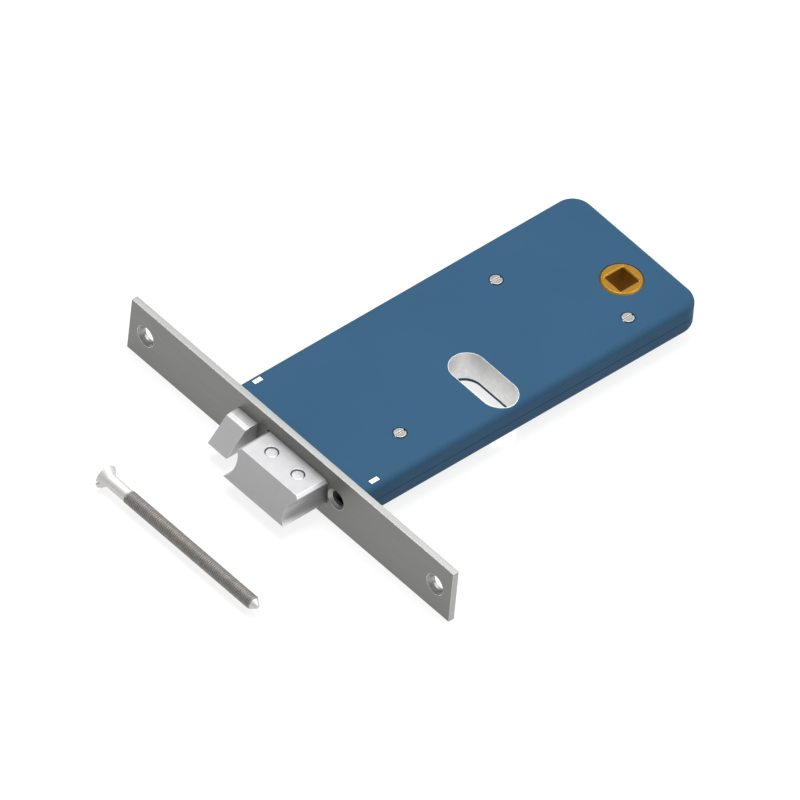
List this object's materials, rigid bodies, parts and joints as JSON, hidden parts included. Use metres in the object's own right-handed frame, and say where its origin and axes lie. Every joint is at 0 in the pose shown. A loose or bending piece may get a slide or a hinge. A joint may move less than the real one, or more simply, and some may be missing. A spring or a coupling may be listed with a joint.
{
  "type": "mortise lock",
  "caption": "Narrow self-latching mortise lock: long flat case, steel faceplate, bevelled bolt and trigger latch, slot for an oval cylinder, follower far back, loose fixing screw.",
  "frame": {"origin": "centre of the faceplate's front face, level with the case's mid-plane", "axes": "+X into the door along the case's depth, +Y along the faceplate towards the auxiliary latch, +Z through the case's thickness, so the lock lies on its broad side"},
  "size_m": [0.2072, 0.16, 0.022],
  "materials": {
    "faceplate_steel": "satin, brushed along its length",
    "case_paint": "smooth blue powder coat, semi-matt",
    "bolt_steel": "nickel plated, fine ground",
    "hardened_pin": "bright ground",
    "zinc_plate": "bright zinc plated",
    "lever_steel": "sintered, slightly rough",
    "spring_steel": "drawn wire, lightly oiled",
    "brass": "turned, satin",
    "screw_steel": "zinc plated"
  },
  "bodies": {
    "root": {"faceplate": "faceplate_steel", "faceplate_brackets": "zinc_plate", "upper_case_shell": "case_paint", "lower_case_shell": "case_paint", "case_posts": "zinc_plate", "cover_screws": "screw_steel", "cylinder_slot_sleeve": "zinc_plate", "latch_bracket": "zinc_plate", "spring_bridge": "zinc_plate", "spring_guide_rods": "lever_steel", "pull_bar_guides": "zinc_plate", "pull_bar_spring_stop": "zinc_plate", "cylinder_lever_pin": "lever_steel", "locking_lever_pin": "lever_steel", "locking_lever_spring": "spring_steel", "main_bolt_springs": "spring_steel", "latch_spring": "spring_steel", "pull_bar_spring": "spring_steel", "cylinder_fixing_screw": "screw_steel"},
    "main_bolt": {"main_bolt": "bolt_steel", "anti_saw_pins": "hardened_pin", "bolt_tail": "zinc_plate", "bolt_tail_rivets": "lever_steel"},
    "auxiliary_latch": {"auxiliary_latch": "bolt_steel", "latch_stem": "lever_steel", "latch_stem_clip": "spring_steel"},
    "pull_bar": {"pull_bar": "zinc_plate", "pull_bar_pin": "lever_steel"},
    "follower": {"follower": "brass"},
    "cylinder_lever": {"cylinder_lever": "lever_steel"},
    "locking_lever": {"locking_lever": "lever_steel"}
  },
  "joints": [
    {"name": "main_bolt_slide", "type": "slide", "parent": "root", "child": "main_bolt", "axis": [1, 0, 0], "range_m": [0, 0.0182], "stiffness_N_per_m": 300, "springref_m": -0.02, "deforming": ["main_bolt_springs"]},
    {"name": "auxiliary_latch_slide", "type": "slide", "parent": "root", "child": "auxiliary_latch", "axis": [1, 0, 0], "range_m": [0, 0.0125], "stiffness_N_per_m": 200, "springref_m": -0.012, "deforming": ["latch_spring"]},
    {"name": "pull_bar_slide", "type": "slide", "parent": "root", "child": "pull_bar", "axis": [1, 0, 0], "range_m": [0, 0.0182], "deforming": ["pull_bar_spring"]},
    {"name": "follower_turn", "type": "hinge", "parent": "root", "child": "follower", "pos_m": [0.138, -0.0079, 0], "axis": [0, 0, -1], "range_deg": [0, 48]},
    {"name": "cylinder_lever_turn", "type": "hinge", "parent": "root", "child": "cylinder_lever", "pos_m": [0.047, 0.0042, 0], "axis": [0, 0, 1], "range_deg": [0, 48]},
    {"name": "locking_lever_turn", "type": "hinge", "parent": "root", "child": "locking_lever", "pos_m": [0.062, 0.0225, 0], "axis": [0, 0, -1], "range_deg": [0, 6], "deforming": ["locking_lever_spring"]}
  ],
  "couplings": [
    {"joint": "pull_bar_slide", "follows": "main_bolt_slide", "ratio": 1},
    {"joint": "follower_turn", "follows": "main_bolt_slide", "rad_per_m": 46.03},
    {"joint": "cylinder_lever_turn", "follows": "main_bolt_slide", "rad_per_m": 46.03},
    {"joint": "locking_lever_turn", "follows": "main_bolt_slide", "rad_per_m": 4.79}
  ]
}
